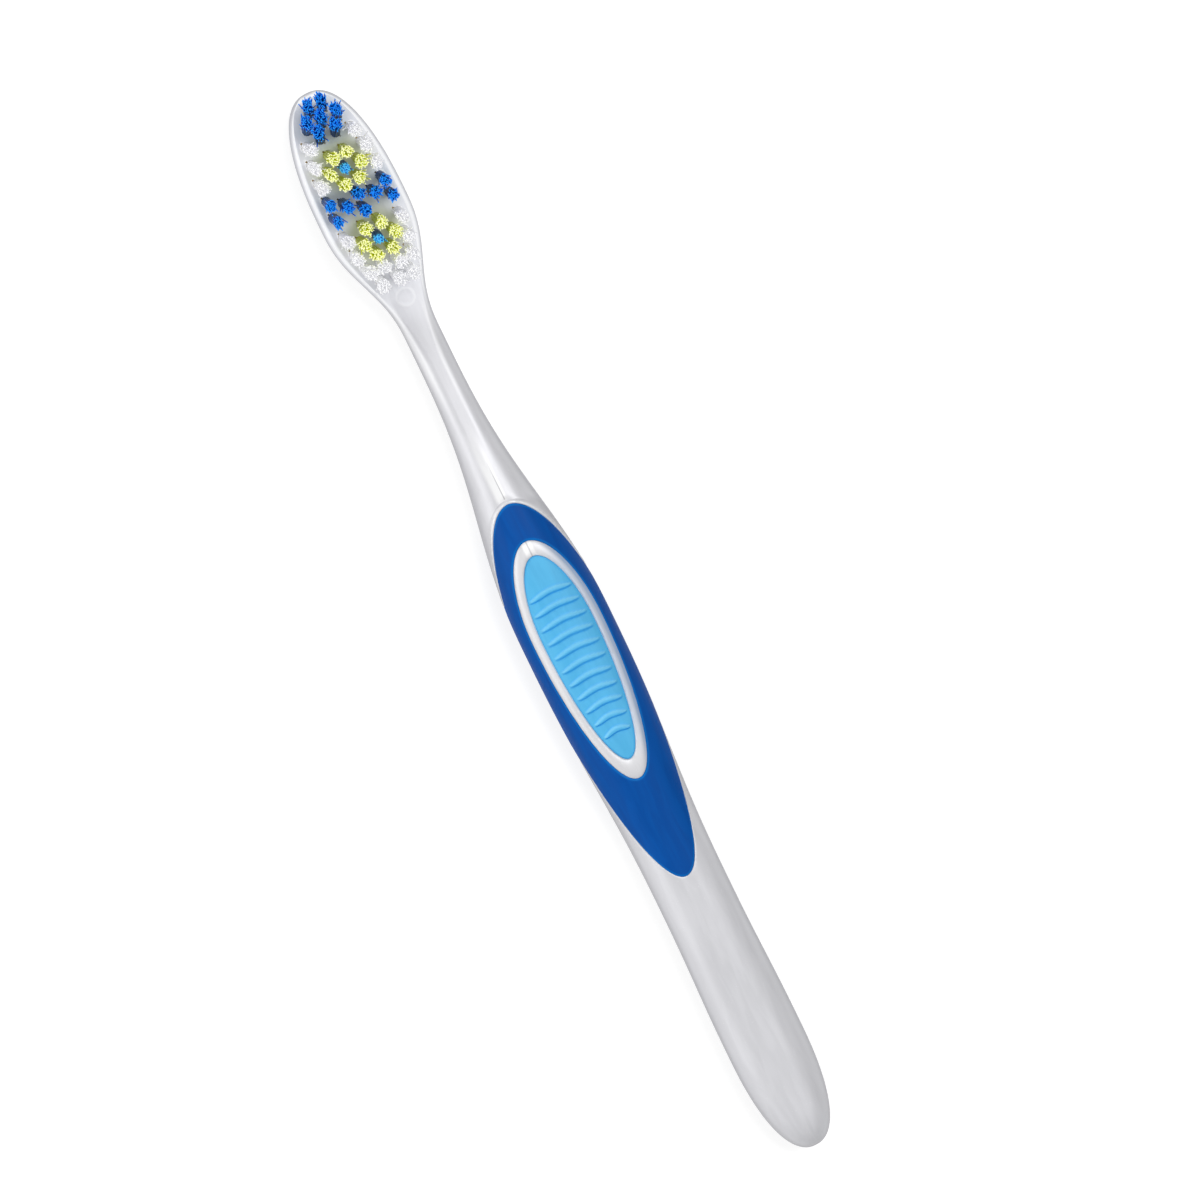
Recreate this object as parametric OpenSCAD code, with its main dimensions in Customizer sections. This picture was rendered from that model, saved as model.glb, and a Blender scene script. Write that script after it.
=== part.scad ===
// Manual toothbrush: a moulded handle, a soft grip in two colours, and tufts held by wire anchors.
// The brush lies on its back along X, with its toe towards +X and its bristles up.
// Places are measured along the brush from the toe, or from the tail where the name says so.

/* [Handle] */
// Length of the moulded handle from toe to tail
total_l = 190; // [180:1:205]
// Width of the neck at its narrowest
neck_w = 5.8; // [5:0.1:7]
// Thickness of the neck at its narrowest
neck_t = 5; // [4.6:0.1:6.5]
// Place of the narrowest neck
neck_at = 43; // [41:0.5:48]
// Height of the neck's back above the surface that the brush lies on
neck_lift = 2.7; // [1:0.1:4]
// Width of the handle at its widest, under the thumb
grip_w = 15.4; // [14:0.1:18]
// Thickness of the handle under the thumb
grip_t = 12.2; // [11:0.1:14]
// Place where the handle is widest
grip_wide_at = 97; // [93:0.5:101]
// Place where the handle's front is highest
grip_high_at = 92; // [88:0.5:98]
// Start of the flat that the grip rests on
rest_from = 84; // [80:0.5:90]
// Length of the flat that the grip rests on
rest_l = 40; // [30:0.5:44]
// Width of the slimmer part behind the grip
waist_w = 12.2; // [11:0.1:14]
// Thickness of the slimmer part behind the grip
waist_t = 9.6; // [8.5:0.1:11]
// Clearance under the slimmer part when the brush lies down
waist_lift = 0.9; // [0.3:0.1:1.5]
// Place of the slimmer part, from the tail
waist_from_tail = 46; // [42:0.5:50]
// Width of the tail
tail_w = 13; // [11:0.1:15]
// Thickness of the tail
tail_t = 9.4; // [8:0.1:11]
// Clearance under the tail when the brush lies down
tail_lift = 0.6; // [0.3:0.1:1.2]
// Place where the tail is widest, from its end
tail_from_end = 19; // [16:0.5:24]
// Length of the tail's rounding, seen from the side
tail_round_l = 7; // [5:0.5:12]

/* [Head] */
// Width of the head
head_w = 14.9; // [13.6:0.1:17]
// Thickness of the head
head_t = 4.6; // [4.4:0.1:6]
// Height of the head's back above the surface that the brush lies on
head_lift = 3.2; // [1.5:0.1:4]
// Place where the head is widest
head_wide_at = 20.5; // [18:0.5:22]
// Flat left on the head's face behind the last tufts
face_margin = 1.3; // [1:0.1:2]
// How far behind the narrowest neck the face's flat has narrowed into a soft crown
face_point_l = 6; // [4:0.5:14]
// Length of the toe's rounding, seen from the side
toe_round_l = 2.4; // [1.8:0.1:3]
// Radius of the round ejector mark behind the tufts
mark_r = 1.3; // [1:0.1:1.6]
// Depth of the ejector mark
mark_depth = 0.15; // [0.1:0.05:0.3]
// Distance from the end of the head's face to the middle of the ejector mark
mark_offset = 2; // [1.8:0.1:3]

/* [Soft grip] */
// Thickness of the dark sleeve round the handle
sleeve_t = 1.3; // [1:0.1:1.8]
// How far the sleeve's outline reaches past the widest handle, so that it wraps the sides
sleeve_wrap = 0.3; // [0.2:0.1:1]
// Length of the dark sleeve in front of the bright ring
band_front_l = 6.6; // [5:0.1:8]
// Length of the dark sleeve behind the bright ring
band_rear_l = 18; // [14:0.5:22]
// Width of the bright ring beside the thumb pad
ring_w = 1.35; // [1:0.05:1.8]
// Length of the bright ring in front of the thumb pad
ring_front_l = 2.5; // [1.5:0.1:3.5]
// Length of the bright ring behind the thumb pad
ring_rear_l = 3.5; // [2:0.1:5]
// Front point of the thumb pad
pad_from = 81.5; // [80:0.5:83]
// Distance from the pad's front point to its widest place
pad_front_l = 13.5; // [12:0.5:16]
// Distance from the pad's widest place to its rear point
pad_rear_l = 23; // [20:0.5:26]
// Width of the thumb pad
pad_w = 9.4; // [8.6:0.1:10.2]
// Depth of the thumb pad's seat below the highest point of the grip
pad_seat_depth = 2.6; // [2.2:0.1:3.2]
// Depth of the thumb pad's surface below the rim round it
pad_sink = 0.35; // [0.2:0.05:0.5]
// Height of the ribs on the thumb pad
rib_h = 0.3; // [0.15:0.05:0.4]
// Width of a rib at its middle
rib_w = 0.9; // [0.7:0.05:1.3]
// Distance from rib to rib
rib_pitch = 2.5; // [2.2:0.1:3.2]
// Distance from the pad's front point to the first rib
rib_first_l = 5.6; // [4.5:0.1:7]
// How far a rib's ends bend back from its middle
rib_bend = 1; // [0.6:0.1:1.6]
// Depth of the grooves across the back of the sleeve
groove_depth = 0.5; // [0.3:0.05:0.7]
// Gap left between the handle and what is moulded onto it
bond_gap = 0.05; // [0.02:0.01:0.08]

/* [Tufts] */
// Place of the first row of tufts
first_row_at = 2.9; // [2.8:0.1:3.3]
// Distance from one row of tufts to the next
row_gap = 2.3; // [2.25:0.01:2.36]
// Width of the tuft field between the outermost centres
field_w = 9.8; // [9.4:0.1:10.4]
// Radius of the ring of tufts in each cup
cup_r = 2.6; // [2.5:0.05:2.7]
// Width of a tuft hole
hole_d = 1.7; // [1.6:0.05:1.8]
// Depth of a tuft hole
hole_depth = 3.3; // [3:0.1:3.5]
// Clearance all round a tuft's root in its hole
root_gap = 0.05; // [0.03:0.01:0.08]
// Height of the straight tufts above the head
tuft_h = 10.6; // [9:0.1:12]
// Length of the angled toe tufts above the head
toe_tuft_h = 10.9; // [9:0.1:12]
// Height of the tuft in the middle of each cup
core_tuft_h = 9.6; // [8:0.1:12]
// Angle of the toe tufts towards the toe
toe_lean = 11.5; // [0:0.5:13]
// Strands that stand for the filaments of one tuft
strand_n = 10; // [7:1:10]
// Width across a strand's corners
strand_d = 0.3; // [0.2:0.01:0.31]
// Spread of a tuft at its tip, as a factor of its root
spread = 1.4; // [1.1:0.05:1.5]

/* [Anchors] */
// Width of the flat wire that holds a tuft down
anchor_w = 2.1; // [1.9:0.05:2.3]
// Height of the anchor in its hole
anchor_h = 1.3; // [1.1:0.1:1.5]
// Thickness of the anchor wire
anchor_t = 0.28; // [0.2:0.01:0.35]
// Thickness of the fold of filaments under the anchor
fold_t = 0.35; // [0.25:0.05:0.5]
// Angle of the anchors across the head
anchor_angle = 30; // [0:5:60]
// Clearance round an anchor
anchor_gap = 0.02; // [0.01:0.01:0.05]

/* [Hidden] */
overrun = 20;
head_top = head_lift + head_t;
// Places along the brush as shares of the row distance
toe_row_shares = [0, 1, 1.92];
cup_gap_share = 0.937;
band_l_share = 2.35;
heel_gap_share = 0.98;
last_row_share = 1.09;
// Places of tufts as [share of the row distance, share of half the field's width]
toe_shares = [
    [toe_row_shares[0], 0.235], [toe_row_shares[0], -0.235], [toe_row_shares[1], 0],
    [toe_row_shares[1], 0.53], [toe_row_shares[1], -0.53], [toe_row_shares[2], 0.27],
    [toe_row_shares[2], -0.27]
];
centre_band_shares = [[0, 0], [1.15, 0]];
band_shares = [[-0.13, 0.97], [0.42, 0.51], [1.1, 1]];
heel_shares = [
    [0, 0.255], [0, -0.255], [-0.09, 0.765], [-0.09, -0.765],
    [last_row_share, 0], [last_row_share, 0.51], [last_row_share, -0.51]
];
// Places of tufts as [share of the cup's radius, share of half the field's width]
front_side_shares = [[-1.88, 0.79], [-0.76, 0.9], [0.43, 0.965]];
rear_side_shares = [[-0.65, 0.98], [0.58, 0.9]];
// Rows of tufts from the toe to the heel
cup_reach = cup_r * sin(60);
lean_shift = hole_depth * sin(toe_lean);
toe_end_at = first_row_at + row_gap * toe_row_shares[2];
front_cup_at = toe_end_at + lean_shift + row_gap * cup_gap_share + cup_reach;
band_at = front_cup_at + cup_reach + row_gap;
rear_cup_at = band_at + row_gap * band_l_share + cup_reach;
heel_at = rear_cup_at + cup_reach + row_gap * heel_gap_share;
last_row_at = heel_at + row_gap * last_row_share;
face_end_at = last_row_at + hole_d / 2 + face_margin;
mark_at = face_end_at + mark_offset;
waist_at = total_l - waist_from_tail;
tail_at = total_l - tail_from_end;
rest_to = rest_from + rest_l;
pad_wide_at = pad_from + pad_front_l;
pad_to = pad_wide_at + pad_rear_l;
pad_seat = grip_t - pad_seat_depth;
window_from = pad_from - ring_front_l;
window_to = pad_to + ring_rear_l;
window_w = pad_w + 2 * ring_w;
sleeve_from = window_from - band_front_l;
sleeve_to = window_to + band_rear_l;
sleeve_w = grip_w + 2 * sleeve_wrap;
root_r = hole_d / 2 - root_gap;

// Counts that set how fine the moulded surfaces are
toe_steps = 14;
shoulder_steps = 14;
body_steps = 42;
tail_steps = 10;
body_step_l = (tail_at - neck_at) / body_steps;
corner_steps = 6;
outline_steps = 56;
rib_steps = 8;

// Roundness of the ends, where 2 is an ellipse
end_power = 2.35;
// How early the steps crowd towards an end
end_crowding = 1.3;
// Depth by which the head's face and the resting back are cut flat
flat_cut = 0.12;
// Part of the face margin that slopes off to the neck, as a share
face_slope_share = 0.7;
// Share of the half width taken by the rounded corners, as [place, share] from toe to tail
front_corner_shares = [
    [0, 0.2], [face_end_at, 0.24], [neck_at + face_point_l, 0.78], [grip_wide_at, 0.86],
    [waist_at, 0.86], [tail_at, 0.86]
];
back_corner_shares = [
    [0, 0.55], [face_end_at, 0.6], [neck_at, 0.92], [rest_from, 0.75], [rest_to, 0.75],
    [waist_at, 0.8], [tail_at, 0.75]
];

// Outline of the handle as [place, half width, skew of the run up to it]
width_knots = [
    [head_wide_at, head_w / 2, 1], [neck_at, neck_w / 2, 1], [grip_wide_at, grip_w / 2, 1.2],
    [waist_at, waist_w / 2, 1], [tail_at, tail_w / 2, 1]
];
// Heights of the front and of the back as [place, height]
front_knots = [
    [face_end_at - face_margin * face_slope_share, head_top + flat_cut],
    [face_end_at, head_top - flat_cut], [neck_at, neck_lift + neck_t], [grip_high_at, grip_t],
    [waist_at, waist_lift + waist_t], [tail_at, tail_lift + tail_t]
];
back_knots = [
    [face_end_at, head_lift], [neck_at, neck_lift], [rest_from, -flat_cut],
    [rest_to, -flat_cut], [waist_at, waist_lift], [tail_at, tail_lift]
];

cup_count = 6;

pearl = [0.84, 0.84, 0.87];
dark_blue = [0.05, 0.28, 0.62];
light_blue = [0.36, 0.72, 0.91];
royal_blue = [0.06, 0.33, 0.82];
sky_blue = [0.12, 0.56, 0.9];
lime = [0.87, 0.9, 0.25];
white = [0.97, 0.97, 0.98];
brass = [0.8, 0.72, 0.5];

// X of a place measured from the toe
function x_at(s) = total_l / 2 - s;

// Soft step from 0 to 1
function ease(t) = t * t * t * (t * (6 * t - 15) + 10);

// Share of the full size at a share of the way out to a rounded end
function end_share(t) = pow(max(0, 1 - pow(t, end_power)), 1 / end_power);

function span_of(s, knots, i = 0) =
    i >= len(knots) - 2 || s < knots[i + 1][0] ? i : span_of(s, knots, i + 1);

// Value at a place, eased from knot to knot
function along(s, knots) =
    let (i = span_of(s, knots), a = knots[i], b = knots[i + 1],
         t = max(0, min(1, (s - a[0]) / (b[0] - a[0]))),
         skew = len(b) > 2 ? b[2] : 1)
    a[1] + (b[1] - a[1]) * ease(pow(t, skew));

function half_width(s) =
    s < head_wide_at ? head_w / 2 * end_share((head_wide_at - s) / head_wide_at) :
    s > tail_at ? tail_w / 2 * end_share((s - tail_at) / tail_from_end) :
    along(s, width_knots);

// Share of the full thickness, below 1 only where the toe and the tail round off
function thickness_share(s) =
    s < toe_round_l ? end_share((toe_round_l - s) / toe_round_l) :
    s > total_l - tail_round_l ? end_share((s - total_l + tail_round_l) / tail_round_l) : 1;

function front_height(s) = along(s, front_knots);
function back_height(s) = along(s, back_knots);
function mid_height(s) = (front_height(s) + back_height(s)) / 2;

// Places of the cross sections, crowded towards the toe and the tail
function stations() = concat(
    [for (i = [1 : toe_steps]) head_wide_at * (1 - cos(90 * pow(i / toe_steps, end_crowding)))],
    [for (i = [1 : shoulder_steps])
        head_wide_at + (neck_at - head_wide_at) * i / shoulder_steps],
    [for (i = [1 : body_steps]) neck_at + body_step_l * i],
    [for (i = [tail_steps - 1 : -1 : 1])
        total_l - tail_from_end * (1 - cos(90 * pow(i / tail_steps, end_crowding)))]
);

// One cross section: four rounded corners joined by a flat front and a flat back
function section(s, inset) =
    let (w = half_width(s) - inset,
         mid = mid_height(s),
         up = thickness_share(s) * (front_height(s) - mid) - inset,
         down = thickness_share(s) * (mid - back_height(s)) - inset,
         front = w * along(s, front_corner_shares),
         back = w * along(s, back_corner_shares),
         step = 90 / corner_steps)
    concat(
        [for (i = [0 : corner_steps])
            [x_at(s), front * (1 - cos(i * step)) - w, mid + up * sin(i * step)]],
        [for (i = [corner_steps : -1 : 0])
            [x_at(s), w - front * (1 - cos(i * step)), mid + up * sin(i * step)]],
        [for (i = [1 : corner_steps])
            [x_at(s), w - back * (1 - cos(i * step)), mid - down * sin(i * step)]],
        [for (i = [corner_steps : -1 : 1])
            [x_at(s), back * (1 - cos(i * step)) - w, mid - down * sin(i * step)]]
    );

// Solid through rings of points, every ring with the same number of them
module skin(rings) {
    count = len(rings[0]);
    last = len(rings) - 1;
    sides = [for (r = [0 : last - 1], i = [0 : count - 1])
        let (a = r * count + i, b = r * count + (i + 1) % count)
        each [[a, a + count, b], [b, a + count, b + count]]];
    caps = [[for (i = [0 : count - 1]) i], [for (i = [count - 1 : -1 : 0]) last * count + i]];
    polyhedron([for (ring = rings) each ring], concat(sides, caps));
}

// Moulded form of the handle between two places, drawn in by an inset
module handle_form(from, to, inset) {
    skin([for (s = stations()) if (s >= from && s <= to) section(s, inset)]);
}

// Part of that form that runs a little past two places
module local_form(from, to, inset) {
    handle_form(from - 2 * body_step_l, to + 2 * body_step_l, inset);
}

// Egg outline with its points on the centre line, grown all round
function egg(from, wide_at, to, width, grow = 0) = [
    for (i = [0 : outline_steps - 1])
        let (a = 360 * i / outline_steps, reach = cos(a) > 0 ? wide_at - from : to - wide_at)
        [x_at(wide_at) + (reach + grow) * cos(a), (width / 2 + grow) * sin(a)]
];

module sleeve_outline(grow = 0) {
    polygon(egg(sleeve_from, grip_wide_at, sleeve_to, sleeve_w, grow));
}

module window_outline(grow = 0) {
    polygon(egg(window_from, pad_wide_at, window_to, window_w, grow));
}

module pad_outline(grow = 0) {
    polygon(egg(pad_from, pad_wide_at, pad_to, pad_w, grow));
}

// Half width of the pad at a place
function pad_half_width(s) =
    let (reach = s < pad_wide_at ? pad_wide_at - pad_from : pad_to - pad_wide_at,
         t = min(1, abs(s - pad_wide_at) / reach))
    pad_w / 2 * sqrt(1 - t * t);

// Crescent across the grip, thick in the middle and bent back at its ends
module crescent(s, half) {
    front = [for (i = [0 : rib_steps]) let (t = 2 * i / rib_steps - 1)
        [x_at(s) - rib_bend * t * t, half * t]];
    rear = [for (i = [rib_steps - 1 : -1 : 1]) let (t = 2 * i / rib_steps - 1)
        [x_at(s) - rib_bend * t * t - rib_w * (1 - t * t), half * t]];
    polygon(concat(front, rear));
}

rib_span_share = 0.86;
rib_first_at = pad_from + rib_first_l;
rib_count = floor((pad_to - rib_first_at - rib_bend - rib_w) / rib_pitch);
module rib_outlines() {
    for (i = [0 : rib_count - 1]) {
        s = rib_first_at + i * rib_pitch;
        crescent(s, rib_span_share * pad_half_width(s + rib_bend + rib_w));
    }
}

// Everything outside the handle's core where the sleeve goes
module sleeve_space() {
    difference() {
        translate([0, 0, -overrun]) linear_extrude(grip_t + 2 * overrun) sleeve_outline();
        local_form(sleeve_from, sleeve_to, sleeve_t);
        translate([0, 0, grip_t / 2]) linear_extrude(2 * overrun) window_outline();
    }
}

// Space over the head's face and the space under the surface that the brush lies on
module over_face() {
    translate([x_at(face_end_at), -overrun, head_top]) cube([total_l, 2 * overrun, overrun]);
}

module under_back() {
    translate([-total_l, -overrun, -overrun]) cube([2 * total_l, 2 * overrun, overrun]);
}

// Frame of one tuft: its origin is where its axis meets the face of the head
module at_tuft(place, lean) {
    translate([x_at(place[0]), place[1], head_top]) rotate([0, lean, 0]) children();
}

// Flat wire across a hole, grown all round by a gap and upwards by a rise
module anchor_plate(gap, rise = 0) {
    rotate(anchor_angle)
        translate([-anchor_w / 2 - gap, -anchor_t / 2 - gap, fold_t - hole_depth - gap])
            cube([anchor_w + 2 * gap, anchor_t + 2 * gap, anchor_h + 2 * gap + rise]);
}

// Blind hole for a tuft, with the slit that its anchor cuts on the way down
module tuft_hole() {
    translate([0, 0, -hole_depth]) cylinder(r = hole_d / 2, h = hole_depth + overrun, $fn = 48);
    anchor_plate(anchor_gap, hole_depth + overrun);
}

// Golden angle, which spreads the strands evenly over a disc
golden_angle = 137.5;
// Height of a strand's bend, as a share of its height
bend_share = 0.55;
// Spread reached at that bend, as a share of the whole spread
bend_spread_share = 0.4;
function strand_base(i) =
    let (r = (root_r - strand_d / 2) * sqrt((i + 0.5) / strand_n))
    [r * cos(golden_angle * i), r * sin(golden_angle * i)];

function strand_ring(base, widen, z) =
    [for (k = [0 : 2]) [
        base[0] * widen + strand_d / 2 * cos(120 * k),
        base[1] * widen + strand_d / 2 * sin(120 * k), z]];

module strand(i, h) {
    base = strand_base(i);
    skin([
        strand_ring(base, 1, -fold_t),
        strand_ring(base, 1 + (spread - 1) * bend_spread_share, h * bend_share),
        strand_ring(base, spread, h)
    ]);
}

// One tuft: its packed root, notched round the anchor, and the strands that stand out of it
module tuft(h) {
    difference() {
        translate([0, 0, -hole_depth + root_gap]) cylinder(r = root_r, h = hole_depth - root_gap, $fn = 48);
        anchor_plate(anchor_gap);
    }
    for (i = [0 : strand_n - 1]) strand(i, h);
}

function places(list, from, unit) =
    [for (p = list) [from + unit * p[0], field_w / 2 * p[1]]];
function cup_places(at) = [for (i = [0 : cup_count - 1])
    let (a = 360 * i / cup_count) [at + cup_r * sin(a), cup_r * cos(a)]];
function to_side(list, side) = [for (p = list) [p[0], side * p[1]]];

toe_places = places(toe_shares, first_row_at, row_gap);
front_cup_places = cup_places(front_cup_at);
front_core_places = [[front_cup_at, 0]];
centre_band_places = places(centre_band_shares, band_at, row_gap);
band_places = places(band_shares, band_at, row_gap);
rear_cup_places = cup_places(rear_cup_at);
rear_core_places = [[rear_cup_at, 0]];
side_places = concat(
    places(front_side_shares, front_cup_at, cup_r), places(rear_side_shares, rear_cup_at, cup_r)
);
heel_places = places(heel_shares, heel_at, row_gap);
left = 1;
right = -1;
upright_places = concat(
    front_cup_places, front_core_places, centre_band_places, rear_cup_places, rear_core_places,
    heel_places, to_side(band_places, left), to_side(band_places, right),
    to_side(side_places, left), to_side(side_places, right)
);

module tufts(list, h, lean = 0) {
    for (p = list) at_tuft(p, lean) tuft(h);
}

module anchors(list, lean = 0) {
    for (p = list) at_tuft(p, lean) anchor_plate(0);
}

module handle_body() {
    color(pearl) difference() {
        handle_form(0, total_l, 0);
        over_face();
        under_back();
        sleeve_space();
        translate([0, 0, pad_seat]) linear_extrude(overrun) pad_outline();
        translate([x_at(mark_at), 0, front_height(mark_at) - mark_depth])
            cylinder(r = mark_r, h = overrun, $fn = 48);
        for (p = toe_places) at_tuft(p, toe_lean) tuft_hole();
        for (p = upright_places) at_tuft(p, 0) tuft_hole();
    }
}

module grip_sleeve() {
    color(dark_blue) difference() {
        intersection() {
            local_form(sleeve_from, sleeve_to, 0);
            translate([0, 0, -overrun]) linear_extrude(grip_t + 2 * overrun)
                sleeve_outline(-bond_gap);
        }
        local_form(sleeve_from, sleeve_to, sleeve_t - bond_gap);
        translate([0, 0, grip_t / 2]) linear_extrude(overrun) window_outline(bond_gap);
        translate([0, 0, groove_depth - overrun]) linear_extrude(overrun) rib_outlines();
        under_back();
    }
}

module thumb_pad() {
    color(light_blue) intersection() {
        translate([0, 0, pad_seat + bond_gap]) linear_extrude(overrun) pad_outline(-bond_gap);
        union() {
            local_form(pad_from, pad_to, pad_sink);
            intersection() {
                local_form(pad_from, pad_to, pad_sink - rib_h);
                linear_extrude(overrun) rib_outlines();
            }
        }
    }
}

module toe_tufts() { color(royal_blue) tufts(toe_places, toe_tuft_h, toe_lean); }
module front_cup_tufts() { color(lime) tufts(front_cup_places, tuft_h); }
module front_core_tuft() { color(sky_blue) tufts(front_core_places, core_tuft_h); }
module centre_band_tufts() { color(royal_blue) tufts(centre_band_places, tuft_h); }
module left_band_tufts() { color(royal_blue) tufts(to_side(band_places, left), tuft_h); }
module right_band_tufts() { color(royal_blue) tufts(to_side(band_places, right), tuft_h); }
module rear_cup_tufts() { color(lime) tufts(rear_cup_places, tuft_h); }
module rear_core_tuft() { color(sky_blue) tufts(rear_core_places, core_tuft_h); }
module left_side_tufts() { color(white) tufts(to_side(side_places, left), tuft_h); }
module right_side_tufts() { color(white) tufts(to_side(side_places, right), tuft_h); }
module heel_tufts() { color(white) tufts(heel_places, tuft_h); }

module toe_anchors() { color(brass) anchors(toe_places, toe_lean); }
module front_cup_anchors() { color(brass) anchors(front_cup_places); }
module front_core_anchor() { color(brass) anchors(front_core_places); }
module centre_band_anchors() { color(brass) anchors(centre_band_places); }
module left_band_anchors() { color(brass) anchors(to_side(band_places, left)); }
module right_band_anchors() { color(brass) anchors(to_side(band_places, right)); }
module rear_cup_anchors() { color(brass) anchors(rear_cup_places); }
module rear_core_anchor() { color(brass) anchors(rear_core_places); }
module left_side_anchors() { color(brass) anchors(to_side(side_places, left)); }
module right_side_anchors() { color(brass) anchors(to_side(side_places, right)); }
module heel_anchors() { color(brass) anchors(heel_places); }

handle_body();
grip_sleeve();
thumb_pad();
toe_tufts();
front_cup_tufts();
front_core_tuft();
centre_band_tufts();
left_band_tufts();
right_band_tufts();
rear_cup_tufts();
rear_core_tuft();
left_side_tufts();
right_side_tufts();
heel_tufts();
toe_anchors();
front_cup_anchors();
front_core_anchor();
centre_band_anchors();
left_band_anchors();
right_band_anchors();
rear_cup_anchors();
rear_core_anchor();
left_side_anchors();
right_side_anchors();
heel_anchors();
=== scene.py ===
"""The looks of a manual toothbrush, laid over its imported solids.

Lengths are in millimetres until a mesh is written, and then in metres. Places along the brush
are measured from the toe of the head; the X axis points back towards the toe.
"""

import math
from functools import partialmethod

import bmesh
import bpy
import numpy as np
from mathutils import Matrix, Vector


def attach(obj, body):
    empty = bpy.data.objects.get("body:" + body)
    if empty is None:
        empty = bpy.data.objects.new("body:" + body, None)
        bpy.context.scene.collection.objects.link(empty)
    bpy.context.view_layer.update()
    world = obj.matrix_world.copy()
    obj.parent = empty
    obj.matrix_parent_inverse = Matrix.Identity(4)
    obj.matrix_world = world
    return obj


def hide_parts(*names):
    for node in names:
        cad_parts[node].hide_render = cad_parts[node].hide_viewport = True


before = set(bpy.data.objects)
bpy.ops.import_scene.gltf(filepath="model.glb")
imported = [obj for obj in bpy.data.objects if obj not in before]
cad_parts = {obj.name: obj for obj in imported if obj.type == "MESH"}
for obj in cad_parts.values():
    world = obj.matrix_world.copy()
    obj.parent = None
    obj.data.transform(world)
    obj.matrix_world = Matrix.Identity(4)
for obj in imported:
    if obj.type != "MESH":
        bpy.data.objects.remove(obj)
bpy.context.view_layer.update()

MM = 0.001
SEED = 20

# Sizes of the brush, as in its solids
TOTAL_L = 190.0
HEAD_W, HEAD_T, HEAD_LIFT, HEAD_WIDE_AT, TOE_ROUND_L = 14.9, 4.6, 3.2, 20.5, 2.4
NECK_W, NECK_T, NECK_LIFT, NECK_AT = 5.8, 5.0, 2.7, 43.0
GRIP_W, GRIP_T, GRIP_WIDE_AT, GRIP_HIGH_AT = 15.4, 12.2, 97.0, 92.0
REST_FROM, REST_TO = 84.0, 124.0
WAIST_W, WAIST_T, WAIST_LIFT, WAIST_AT = 12.2, 9.6, 0.9, 144.0
TAIL_W, TAIL_T, TAIL_LIFT, TAIL_FROM_END, TAIL_ROUND_L = 13.0, 9.4, 0.6, 19.0, 7.0
TAIL_AT = TOTAL_L - TAIL_FROM_END
END_POWER, FLAT_CUT = 2.35, 0.12
HEAD_TOP = HEAD_LIFT + HEAD_T

ROW_GAP, CUP_R, FIELD_HALF_W, HOLE_R, HOLE_DEPTH = 2.3, 2.6, 4.9, 0.85, 3.3
FIRST_ROW_AT, TOE_LEAN = 2.9, math.radians(11.5)
TUFT_H, TOE_TUFT_H, CORE_TUFT_H = 10.6, 10.9, 9.6
FRONT_CUP_AT, BAND_AT, REAR_CUP_AT, HEEL_AT = 12.38, 16.93, 24.59, 29.09
FACE_END_AT, MARK_AT, MARK_R = 33.75, 35.75, 1.3
ANCHOR_HALF_W, ANCHOR_HALF_T, ANCHOR_ANGLE = 1.07, 0.16, math.radians(30)

# Egg outlines of the soft grip as (front point, widest place, rear point, half width)
PAD_EGG = (81.5, 95.0, 118.0, 4.7)
WINDOW_EGG = (78.9, 95.0, 121.5, 6.05)
SLEEVE_EGG = (72.4, 97.0, 139.5, 8.0)
RIB_FIRST_AT, RIB_PITCH, RIB_W, RIB_BEND, RIB_COUNT = 87.1, 2.5, 0.9, 1.0, 11
# A rib reaches over a share of the pad's half width, taken a little behind the rib's start
RIB_SPAN, RIB_SPAN_LAG, RIB_RISE = 0.92, 2.1, 0.42

# Depths of the mouldings under their skins, and their rolled or rounded edges
CORE_DEPTH, SLEEVE_DEPTH, PAD_DEPTH = 1.1, 1.05, 1.4
SLEEVE_RISE, PAD_SINK, PAD_CROWN = 0.05, 0.12, 0.1
ROLL_W, ROLL_DROP = 0.1, 0.06
SLEEVE_EDGE_R, SLEEVE_EDGE_SHARE, PAD_EDGE_R, PAD_EDGE_SHARE = 0.45, 0.55, 0.4, 0.5
RING_CROWN, RING_SINK, LIP_H, GROOVE_DEPTH, RIDGE_H = 0.32, 0.05, 0.14, 0.05, 0.22
DISC_DEPTH, DISC_RIM_H, SEAM_H = 0.06, 0.03, 0.02
CUT_SNAP, MERGE_WITHIN, FAR_OUTSIDE = 0.004, 0.0005, -9.0
HOLE_STEPS, CUTTER_RISE, SHARP_ANGLE = 40, 2.0, math.radians(38)
# Reach of the painted coloured shade that a tuft's colour casts on the plastic round it
TINT_REACH = 1.9
# Columns of a cut mesh's data, after its place and its normal
LEAF, WINDOW, PAD = 6, 7, 8

# Filaments of one tuft, their clumps, and how far bases, tips and heights vary
FILAMENT_COUNT, FILAMENT_SIDES, FILAMENT_R, FILAMENT_INSET = 96, 6, 0.09, 0.11
CLUMP_COUNT, CLUMP_PULL, CLUMP_VARIES = 15, 0.5, 0.16
BASE_STRAY, TIP_STRAY, TUFT_STRAY, LOOSE_STRAY, LOOSE_SHARE = 0.02, 0.12, 0.11, 0.42, 0.1
TUFT_OVAL, TUFT_DOME, SPLAY_POWER = 0.18, 0.03, 2.6
TOP_VARIES, CLUMP_TOP_VARIES, TOP_LIFT, TOP_LIMIT = 0.1, 0.14, 0.1, 0.3
OWN_SHADE, CLUMP_SHADE = 0.7, 0.4
SPIRAL_STEP, SPIRAL_TURN = 2.39996, 6.28
# Shares of a filament's height at its rings, and of its radius there
RING_AT = np.array([-0.075, 0.25, 0.52, 0.76, 0.92, 0.986, 0.995, 1.0])
RING_R = np.array([1, 1, 1, 1, 1, 1, 0.8, 0.45])
# Slots of the four nylons
ROYAL, SKY, LIME, SNOW = "filament_royal_blue", "filament_sky_blue", "filament_lime", "filament_white"
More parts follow.
